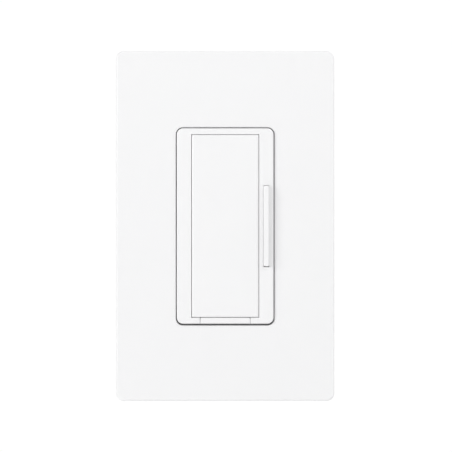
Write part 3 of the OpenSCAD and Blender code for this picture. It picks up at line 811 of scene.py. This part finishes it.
def box_screws():
    head = [(0.5, -3.78), (1.5, -3.74), (2.4, -3.55), (3.0, -3.15), (3.34, -2.6), (3.4, -2.2)]
    head += [(3.4, -1.85), (3.25, -1.62), (1.45, -1.6), (1.4, -1.4), (1.4, 0.45)]
    tip = [(1.35, 22.7), (1.1, 23.2), (0.6, 23.8)]
    piece = screw("y", head, *MACHINE_THREAD, (0.5, 22.6), tip)
    slot = block("slot", (-4, 4), (-4, -2.9), (-0.4, 0.4))
    cut(piece, slot, block("cross", (-0.4, 0.4), (-4, -2.75), (-2, 2)))
    finish_screws("box_screws", piece, "zinc_steel", above_and_below("box_screws", 3.4))


def adapter_screws():
    head = [(0.4, -3.2), (2.9, -3.2), (3.22, -3.17), (3.3, -3.05), (3.1, -2.85), (1.7, -1.55), (1.3, -1.3)]
    piece = screw("y", head, 1.6, 1.25, 0.794, (-1.3, 4.2), [(1.1, 4.4), (0.5, 4.8)])
    cut(piece, block("slot", (-4, 4), (-4, -2.5), (-0.4, 0.4)))
    finish_screws("adapter_screws", piece, "painted_screw", above_and_below("adapter_screws", 3.3))


def housing_screws():
    head = [(0.4, -2.98), (1.1, -2.95), (1.8, -2.75), (2.25, -2.35), (2.4, -1.95), (2.3, -1.62), (1.3, -1.6)]
    tip = [(1.0, 9.6), (0.3, 10)]
    piece = screw("y", head, 1.45, 1.1, 0.9, (-1.4, 9.3), tip, count=24)
    slot = block("slot", (-1.5, 1.5), (-3.1, -2.3), (-0.3, 0.3))
    cut(piece, slot, block("cross", (-0.3, 0.3), (-3.1, -2.3), (-1.5, 1.5)))
    high = box("housing_screws")[1]
    moves = [shift(sx * (high.x - 2.4), 0, sz * (high.z - 2.4)) for sx, sz in CORNERS]
    finish_screws("housing_screws", piece, "zinc_steel", moves)


def wire_screws(node, look, moves):
    """Binding-head screws along X; each move takes the screw from the origin to its pocket."""
    start = [(0.5, 16.1), (1.2, 16.4), (1.3, 16.5)]
    head = [(1.4, 19.68), (3.35, 19.7), (3.6, 19.85), (3.6, 20.7), (3.5, 20.92), (3.1, 21.18), (2.2, 21.4)]
    piece = screw("x", start, *MACHINE_THREAD, (16.5, 19.6), head + [(0.6, 21.5)])
    slot = block("slot", (20.5, 22), (-4, 4), (-0.45, 0.45))
    cut(piece, slot, block("cross", (20.4, 22), (-0.4, 0.4), (-2.1, 2.1)))
    finish_screws(node, piece, look, moves)


MIRROR_X = Matrix.Scale(-1, 4, (1, 0, 0))


def all_wire_screws():
    turn = Matrix.Rotation(math.radians(25), 4, "X")
    upper, lower = [shift(0, TERMINAL_Y, z) for z in (TERMINAL_Z, -TERMINAL_Z)]
    ground = shift(0, 16, GROUND_Z)
    wire_screws("common_screw", "black_screw", [MIRROR_X @ upper @ turn])
    wire_screws("traveller_screws", "brass_plate", [upper @ turn, lower])
    wire_screws("ground_screw", "green_screw", [MIRROR_X @ ground @ turn.inverted()])


def pressure_plates():
    """Plates that grip the wire: grooved on the side that faces the terminal."""
    plate = block("plate", (18.7, 19.6), (13.4, 22.6), (-4.4, 4.4))
    cutters = [rod("hole", 1.9, "x", 18, 20, (0, TERMINAL_Y, 0))]
    for z in (-3.3, -2.2, 2.2, 3.3):
        cutters.append(rod("groove", 0.3, "y", 13, 23, (18.65, 0, z), 8))
    cut(plate, *cutters)
    upper, lower = [shift(0, 0, z) for z in (TERMINAL_Z, -TERMINAL_Z)]
    piece = copies("pressure_plates_grooved", plate, [MIRROR_X @ upper, upper, lower])
    soften(piece, 0.1, 2, 40)
    place(piece, "brass_plate", "pressure_plates")


def tube(name, path, refs, radius):
    """A round wire swept along a path; refs are directions roughly across it."""
    loops = []
    last = len(path) - 1
    for k, point in enumerate(path):
        along = (path[min(k + 1, last)] - path[max(k - 1, 0)]).normalized()
        across = (refs[k] - refs[k].dot(along) * along).normalized()
        third = along.cross(across)
        angles = [FULL_TURN * side / WIRE_SIDES for side in range(WIRE_SIDES)]
        loops.append([point + radius * (math.cos(a) * across + math.sin(a) * third) for a in angles])
    return loft(name, loops)


def paddle_spring():
    low, high = box("paddle_spring")
    wire = 0.25
    start, end = low.y + wire, high.y - wire
    turns, steps = 4.5, 24
    count = int(turns * steps)
    path, refs = [], []
    for k in range(count + 1):
        a = FULL_TURN * k / steps
        share = k / count
        eased = share * share * (3 - 2 * share) * 0.5 + share * 0.5
        out = Vector((math.cos(a), 0, math.sin(a)))
        path.append(Vector((0, start + (end - start) * eased, SPRING_Z)) + 2.0 * out)
        refs.append(out)
    piece = tube("paddle_spring_wire", path, refs, wire)
    smooth(piece, 60)
    place(piece, "spring_steel", "paddle_spring")
    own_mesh(piece)


CHOKE = Vector((1.6, 11.7, 14))
BOARD_BACK = 8.15


def choke_winding():
    ring, loop = 6.9, 2.95
    turns, steps, sweep = 18, 20, math.radians(325)
    count = turns * steps
    path, refs = [], []
    for k in range(count + 1):
        around = sweep * k / count
        a = FULL_TURN * k / steps
        out = Vector((math.cos(around), 0, math.sin(around)))
        section = math.cos(a) * out + Vector((0, math.sin(a), 0))
        path.append(CHOKE + ring * out + loop * section)
        refs.append(section)
    piece = tube("choke_winding_wire", path, refs, 0.45)
    smooth(piece, 60)
    place(piece, "winding_wire", "choke_winding")


# -------- housing

POCKET_DEEP = 6
POCKET_TALL = 11
POCKET_WEB = 1.2
SCREW = (19.3, 31.8)          # a corner screw's place
# side, z and front of each pocket; the ground's is open at the front
POCKETS = [(-1, TERMINAL_Z, 12), (-1, GROUND_Z, 0), (1, TERMINAL_Z, 12), (1, -TERMINAL_Z, 12)]


def housing():
    low, high = box("housing")
    w, h, back = high.x - low.x, high.z - low.z, high.y
    wall = 1.8
    inside = (w - 2 * wall, h - 2 * wall, 0.5)
    loops = edge(*inside, back - wall, 0.4, -1, -1, False)
    loops += edge(*inside, low.y, 0.15, 1, 1, True)
    loops += edge(w, h, 2, low.y, 0.2, -1, 1, False)
    loops += edge(w, h, 2, back, 1.45, -1, -1, True, steps=6)
    piece = loft("housing_moulding", loops)
    extras = []
    for sx, sz in CORNERS:
        extras.append(rod("boss", 2.35, "y", 0.02, 14, (sx * SCREW[0], 0, sz * SCREW[1])))
        ledge = (sz * 8 - 2, sz * 8 + 2)
        extras.append(block("ledge", span(sx, 18.4, 20.5), (BOARD_BACK, 10.3), ledge))
    edge_x = w / 2
    for side, z, front in POCKETS:
        reach = POCKET_TALL / 2 + POCKET_WEB
        x = span(side, edge_x - POCKET_DEEP - POCKET_WEB, edge_x - 0.5)
        y = (max(0.03, front - POCKET_WEB), back - 0.5)
        extras.append(block("wall", x, y, (z - reach, z + reach)))
    join(piece, *extras)
    cutters = []
    for side, z, front in POCKETS:
        x = span(side, edge_x - POCKET_DEEP, edge_x + 1)
        y = (front or -0.1, back + 1)
        cutters.append(block("pocket", x, y, (z - POCKET_TALL / 2, z + POCKET_TALL / 2)))
        if front:
            middle = edge_x - POCKET_DEEP - POCKET_WEB / 2
            x = span(side, middle - 1, middle + 1)
            cutters.append(block("slit", x, (front, 13.4), (z - 1.7, z + 1.7)))
    for sx, sz in CORNERS:
        cutters.append(rod("bore", 1.5, "y", -0.1, 12, (sx * SCREW[0], 0, sz * SCREW[1])))
        mark = (sx * 9, 0, sz * 31.5)
        cutters.append(rod("ejector mark", 1.6, "y", back - 0.12, back + 1, mark))
    cutters.append(block("gauge", (-9, 9), (back - 0.5, back + 1), (-27, -24.5)))
    cut(piece, *cutters)
    cut(piece, parting_line(w, h, 2, 3.0, 0.35, 0.25), label_frame(back))
    soften(piece, 0.18, 2, 45)
    place(piece, "housing_plastic", "housing")


def parting_line(w, h, r, y, width, depth):
    """A ring that cuts a groove round the housing's sides."""
    out = 0.5
    wide = [outline(w + 2 * out, h + 2 * out, r + out, y + s * width / 2) for s in (-1, 1)]
    narrow = [outline(w - 2 * depth, h - 2 * depth, r - depth, y + s * width / 2) for s in (1, -1)]
    return loft("groove", wide + narrow, ring=True)


def label_frame(back):
    """A shallow moulded frame round the label."""
    low, high = box("rear_label")
    w, h, z = high.x - low.x, high.z - low.z, (high.z + low.z) / 2
    levels = (back - 0.2, back + 0.5)
    outer = [outline(w + 2.4, h + 2.4, 2.2, y, 0, z) for y in levels]
    inner = [outline(w + 1.4, h + 1.4, 1.7, y, 0, z) for y in reversed(levels)]
    return loft("label groove", outer + inner, ring=True)


# -------- parts on the circuit board

def rounded_path(points):
    """The points of a wire, with each corner replaced by a short curve."""
    points = [Vector(p) for p in points]
    path = [points[0]]
    for before, corner, after in zip(points, points[1:], points[2:]):
        start = corner + (before - corner).normalized() * WIRE_BEND
        end = corner + (after - corner).normalized() * WIRE_BEND
        for step in range(5):
            t = step / 4
            path.append((1 - t) ** 2 * start + 2 * t * (1 - t) * corner + t * t * end)
    return path + [points[-1]]


def lead_wires(name, paths, radius, node):
    """Tinned wires along straight runs with rounded bends."""
    bm = bmesh.new()
    for points in paths:
        path = rounded_path(points)
        wire = tube("wire", path, [Vector((1, 0.13, 0.07))] * len(path), radius)
        bm.from_mesh(wire.data)
        bpy.data.objects.remove(wire)
    piece = from_bmesh(name, bm)
    smooth(piece, 50)
    place(piece, "zinc_steel", node)


def axial_part(node, name, profile, r, length, wire, places, look, sharp, slot=None, count=32):
    """Parts with a round body along Z, lying on the board at (x, z), and their leads."""
    lift = BOARD_BACK + r
    body = turned("body", profile, "z", (0, 0, 0), count)
    piece = copies(name, body, [shift(x, lift, z) for x, z in places])
    smooth(piece, sharp)
    place(piece, look, node, slot=slot)
    paths = []
    for x, z in places:
        for s in (-1, 1):
            inner, outer = z + s * (length / 2 - 0.4), z + s * (length / 2 + 1.3)
            paths.append([(x, lift, inner), (x, lift, outer), (x, BOARD_BACK, outer)])
    lead_wires(node.rstrip("s") + "_leads", paths, wire, node)


def mirrored(profile):
    """A profile up to its middle, and the same again in reverse."""
    return profile + [(r, -t) for r, t in reversed(profile[:-1])]


def axial_parts():
    coat = mirrored([(0.3, -3), (0.75, -2.95), (1.0, -2.6), (1.0, -1.9), (0.86, -1.6), (0.84, 0)])
    places = [(x, 3) for x in (-12.8, -10.4, -8)]
    axial_part("resistors", "resistor_bodies", coat, 1.0, 6, 0.3, places, "resistor_coat", 50)
    glass = [(0.3, -2.5), (1.05, -2.48), (1.2, -2.3), (1.2, 2.3), (1.05, 2.48), (0.3, 2.5)]
    places = [(x, -24) for x in (0.5, 3.5)]
    axial_part("diodes", "diode_bodies", glass, 1.2, 5, 0.3, places, "diode_body", 35, "black_component")
    caps = [(0.4, -4), (1.35, -3.97), (1.5, -3.8), (1.5, -2.5), (1.4, -2.42), (1.36, -2.3), (1.36, 0)]
    places = [(10.5, -4)]
    axial_part("fuse", "fuse_body", mirrored(caps), 1.5, 8, 0.35, places, "fuse_body", 35, "ceramic_body", 40)


def varistor():
    half = 1.75
    profile = [(0.3, -half)]
    for step in range(9):
        a = math.radians(-90 + 180 * step / 8)
        profile.append((4.1 + 0.9 * math.cos(a), half * math.sin(a) * (1 - 0.05 * math.cos(a))))
    profile.append((0.3, half))
    at = (9, BOARD_BACK + 6, -20)
    piece = turned("varistor_disc", profile, "z", at)
    smooth(piece, 60)
    place(piece, "varistor_coat", "varistor")
    paths = [[(x, BOARD_BACK + 3, -20), (x, BOARD_BACK, -20)] for x in (6.5, 11.5)]
    lead_wires("varistor_leads", paths, 0.35, "varistor")


def smoothing_capacitor():
    base, top = [corner.y for corner in box("smoothing_capacitor")]
    foot = [(0.5, 0), (3.3, 0), (3.6, 0.2), (3.6, 0.7), (3.95, 0.9)]
    bead = [(4.0, 1.3), (4.0, 2.0), (3.72, 2.3), (3.72, 2.6), (4.0, 2.9)]
    crown = [(4.0, -0.5), (3.85, -0.1), (3.55, 0), (3.3, -0.05), (3.1, -0.22), (0.3, -0.22)]
    profile = [(r, base + t) for r, t in foot + bead] + [(r, top + t) for r, t in crown]
    at = (-9, 0, -24)
    piece = turned("smoothing_capacitor_can", profile, "y", at, 56)
    vents = []
    for angle in (0, 120, 240):
        vent = block("vent", (-0.12, 0.12), (top - 0.32, top), (0, 2.4))
        vent.data.transform(shift(*at) @ Matrix.Rotation(math.radians(angle), 4, "Y"))
        vents.append(vent)
    cut(piece, *vents)
    smooth(piece, 45)
    place(piece, "can_sleeve", "smoothing_capacitor")


def film_capacitor():
    low, high = box("film_capacitor")
    w, h = high.x - low.x, high.z - low.z
    loops = edge(w, h, 0.7, low.y, 0.15, -1, 1, False)
    loops += edge(w - 0.5, h - 0.3, 0.9, high.y, 0.7, -1, -1, True)
    piece = loft("film_capacitor_case", loops)
    middle = (low.x + high.x) / 2
    piece.data.transform(shift(middle, 0, (low.z + high.z) / 2))
    x, y = (middle - 7, middle + 7), (low.y - 1, low.y + 0.5)
    cut(piece, *[block("recess", x, y, (z, z + 2)) for z in (low.z - 1.4, high.z - 0.6)])
    smooth(piece, 35)
    weigh(piece)
    place(piece, "film_case", "film_capacitor")


def microcontroller():
    body = block("microcontroller_body", (-5, 5), (8.45, 9.95), (-5.4, 0.6))
    cut(body, rod("dimple", 0.4, "y", 9.88, 11, (-4.1, 0, -0.3)))
    soften(body, 0.15, 1, 40)
    place(body, "black_component", "microcontroller")
    legs = []
    for side in (-1, 1):
        root = -2.4 + side * 3.0
        for x in (-4, -2, 0, 2, 4):
            for near, far, *y in ((0, 0.35, 9.1, 9.3), (0.3, 0.5, 8.2, 9.3), (0.5, 0.9, 8.17, 8.4)):
                z = sorted((root + side * near, root + side * far))
                legs.append(block("leg", (x - 0.25, x + 0.25), y, z))
    piece = join(legs[0], *legs[1:])
    piece.name = "microcontroller_legs"
    soften(piece, 0.04, 2, 40)
    place(piece, "zinc_steel", "microcontroller")


def triac():
    body = block("triac_body", (-13, -3), (0.6, 4.9), (12, 21.2))
    cut(body, rod("mark", 1.1, "y", 4.78, 6, (-8, 0, 18.6)))
    soften(body, 0.35, 2, 40)
    place(body, "black_component", "triac")
    tab = block("triac_tab", (-13, -3), (0.42, 1.7), (12.2, 27.8))
    notches = [block("notch", (x - 0.6, x + 0.6), (0, 2), (22, 23.2)) for x in (-13, -3)]
    cut(tab, rod("hole", 1.8, "y", 0, 2, (-8, 0, 25)), *notches)
    legs = []
    for x in (-10.54, -8, -5.46):
        across = (x - 0.4, x + 0.4)
        legs.append(block("leg", across, (2.8, 3.3), (8.5, 12.3)))
        legs.append(block("leg", across, (2.8, 6.48), (8.5, 9.0)))
        legs.append(block("shoulder", (x - 0.65, x + 0.65), (2.8, 3.3), (10.6, 12.2)))
    join(tab, *legs)
    soften(tab, 0.08, 2, 40)
    place(tab, "zinc_steel", "triac")


def tact_switch(node, name):
    """A push button's base with its sheet-metal cover and four rivet heads."""
    low, high = box(node)
    middle = Point((low.x + high.x) / 2, 0, (low.z + high.z) / 2)
    half = (high.x - low.x) / 2
    base = block(name + "_base", (low.x, high.x), (low.y + 0.3, high.y), (low.z, high.z))
    cut(base, rod("well", 1.9, "y", low.y, 5.1, middle))
    reach = half - 0.55
    profile = [(0.25, 0.35), (0.25, 0.0), (0.38, 0.0), (0.32, -0.08), (0.15, -0.12)]
    rivet = [(r, low.y + t) for r, t in profile]
    places = [(middle.x + sx * reach, 0, middle.z + sz * reach) for sx, sz in CORNERS]
    join(base, *[turned("rivet", rivet, "y", at, 16) for at in places])
    soften(base, 0.2, 2, 60)
    place(base, "black_component", node)
    x, z = [(centre - half + 0.15, centre + half - 0.15) for centre in (middle.x, middle.z)]
    cover = block(name + "_cover", x, (low.y, low.y + 0.28), z)
    cut(cover, rod("hole", 1.85, "y", low.y - 1, low.y + 1, middle))
    soften(cover, 0.1, 2, 40)
    place(cover, "zinc_steel", node)


# -------- CAD nodes that keep their shape

KEPT = {
    "wallplate_adapter": ("adapter_plastic", 0.2),
    "yoke": ("aluminium_sheet", 0.12),
    "screw_retainers": ("fibre_washer", 0.05),
    "rocker_pivot_pin": ("zinc_steel", 0.08),
    "service_slider": ("grey_nylon", 0.12),
    "bridge_contact": ("contact_copper", 0.08),
    "fixed_contacts": ("brass_plate", 0.1),
    "switch_guide": ("grey_nylon", 0.12),
    "insulator_sheet": ("insulating_card", 0.04),
    "board_standoffs": ("grey_nylon", 0.12),
    "circuit_board": ("board_laminate", 0.0),
    "tap_plunger": ("grey_nylon", 0.15),
    "raise_plunger": ("grey_nylon", 0.15),
    "lower_plunger": ("grey_nylon", 0.15),
    "triac_pad": ("thermal_pad", 0.04),
    "triac_rivet": ("aluminium_sheet", 0.25),
    "choke_core": ("ferrite_coating", 0.0),
    "common_terminal": ("brass_plate", 0.12),
    "traveller_terminals": ("brass_plate", 0.12),
    "rear_label": ("blank_label", 0.02),
}


def merge_flat_faces(piece):
    """Joins the triangles of each flat face, so that a bevel finds no thin ones beside it."""
    weld = piece.modifiers.new("weld first", "WELD")
    weld.merge_threshold = WELD_GAP
    flat = piece.modifiers.new("flat", "DECIMATE")
    flat.decimate_type = "DISSOLVE"
    flat.angle_limit = math.radians(0.5)


def finish_cad_nodes():
    for name, (material, width) in KEPT.items():
        piece = NODES[name]
        dress(piece, MATERIALS[material])
        merge_flat_faces(piece)
        if width:
            soften(piece, width, 2, 40)
        else:
            smooth(piece)
        weigh(piece)


# -------- scene

FLOOR_HEIGHT = -0.62          # lower than the camera when it looks straight up
FLOOR_RADIUS = 3.1


def floor():
    bm = bmesh.new()
    bmesh.ops.create_circle(bm, cap_ends=True, segments=128, radius=FLOOR_RADIUS)
    bm.transform(Matrix.Translation((0, 0, FLOOR_HEIGHT)))
    piece = from_bmesh("floor", bm)
    material, tree, shader = new_material("floor", roughness=0.8)
    speckle = noise(tree, 3, detail=4)
    speckled = blend_colors(tree, speckle, (0.90, 0.90, 0.90), (0.94, 0.94, 0.94))
    tree.links.new(speckled, shader.inputs["Base Color"])
    bump(tree, shader, speckle, 0.05)
    dress(piece, material)


def add_studio():
    bpy.context.scene.view_settings.view_transform = "Standard"
    bpy.context.scene.view_settings.look = "None"
    add_camera()
    add_world()
    add_area_light("key", KEY_DIRECTION * KEY_DISTANCE, KEY_SIZE, KEY_WATTS)
    add_area_light("top", TOP_PLACE, TOP_SIZE, TOP_WATTS)


add_studio()
floor()
wallplate()
bezel()
paddle()
dimmer_bar()
service_tab()
box_screws()
adapter_screws()
housing_screws()
all_wire_screws()
pressure_plates()
paddle_spring()
choke_winding()
housing()
axial_parts()
varistor()
smoothing_capacitor()
film_capacitor()
microcontroller()
triac()
for button in ("tap", "raise", "lower"):
    tact_switch(button + "_switch", button + "_button")
finish_cad_nodes()
